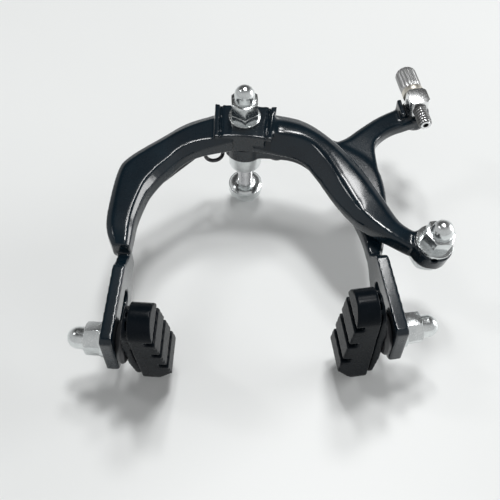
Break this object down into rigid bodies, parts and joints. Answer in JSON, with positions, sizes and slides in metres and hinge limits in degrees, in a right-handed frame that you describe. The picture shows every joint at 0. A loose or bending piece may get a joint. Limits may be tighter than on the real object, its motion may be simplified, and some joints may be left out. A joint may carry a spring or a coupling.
{
  "type": "side pull caliper brake",
  "caption": "Black side pull caliper brake for a bicycle: two long slotted arms on a centre bolt, wedge rubber pads, cable anchor and barrel adjuster.",
  "frame": {"origin": "free end of the centre bolt, on the bolt axis", "axes": "+Z along the centre bolt towards the front cap nut, +X towards the cable side, +Y away from the brake pads"},
  "size_m": [0.1389, 0.1271, 0.067],
  "materials": {
    "black_paint": "gloss black paint",
    "zinc": "bright zinc plate",
    "nickel": "satin nickel plate",
    "thin_washer": "plain steel",
    "spring_steel": "dark spring steel",
    "dark_steel": "satin black",
    "rubber": "moulded rubber"
  },
  "bodies": {
    "mounting_bolt": {"centre_bolt": "zinc", "front_cap_nut": "zinc", "front_lock_nut": "zinc", "front_washer": "zinc", "mid_washer": "thin_washer", "rear_washer": "thin_washer", "return_spring": "spring_steel", "curved_washer": "zinc", "flat_washer": "zinc", "mounting_nut": "zinc"},
    "front_arm": {"front_arm": "black_paint", "anchor_bolt": "zinc", "anchor_washer": "zinc", "anchor_cap_nut": "zinc"},
    "rear_arm": {"rear_arm": "black_paint"},
    "left_carrier": {"left_dish_washer": "dark_steel", "left_washer": "zinc", "left_cap_nut": "zinc"},
    "left_shoe": {"left_stud": "zinc", "left_pad": "rubber"},
    "right_carrier": {"right_dish_washer": "dark_steel", "right_washer": "zinc", "right_cap_nut": "zinc"},
    "right_shoe": {"right_stud": "zinc", "right_pad": "rubber"},
    "swivel": {"swivel_post": "nickel", "swivel_clip": "spring_steel", "lock_ring": "nickel"},
    "barrel": {"barrel_adjuster": "nickel"}
  },
  "joints": [
    {"name": "front_arm_pivot", "type": "hinge", "parent": "mounting_bolt", "child": "front_arm", "pos_m": [0, 0, 0], "axis": [0, 0, 1], "range_deg": [0, 8], "stiffness_Nm_per_rad": 3, "springref_deg": -14.32, "deforming": ["return_spring"]},
    {"name": "rear_arm_pivot", "type": "hinge", "parent": "mounting_bolt", "child": "rear_arm", "pos_m": [0, 0, 0], "axis": [0, 0, 1], "range_deg": [-8, 0], "stiffness_Nm_per_rad": 3, "springref_deg": 14.32, "deforming": ["return_spring"]},
    {"name": "left_pad_height", "type": "slide", "parent": "front_arm", "child": "left_carrier", "axis": [0.1045, 0.9945, 0], "range_m": [0, 0.016]},
    {"name": "left_pad_turn", "type": "hinge", "parent": "left_carrier", "child": "left_shoe", "pos_m": [-0.04578, -0.08729, 0.0376], "axis": [0.9945, -0.1045, 0], "range_deg": [-10, 10]},
    {"name": "right_pad_height", "type": "slide", "parent": "rear_arm", "child": "right_carrier", "axis": [-0.1045, 0.9945, 0], "range_m": [0, 0.016]},
    {"name": "right_pad_turn", "type": "hinge", "parent": "right_carrier", "child": "right_shoe", "pos_m": [0.04578, -0.08729, 0.0376], "axis": [0.9945, 0.1045, 0], "range_deg": [-10, 10]},
    {"name": "swivel_pivot", "type": "hinge", "parent": "rear_arm", "child": "swivel", "pos_m": [0.06975, 0.01176, 0.0366], "axis": [0, 0, 1], "range_deg": [-12, 12]},
    {"name": "barrel_screw", "type": "slide", "parent": "swivel", "child": "barrel", "axis": [-0.1478, 0.989, 0], "range_m": [0, 0.007]}
  ]
}
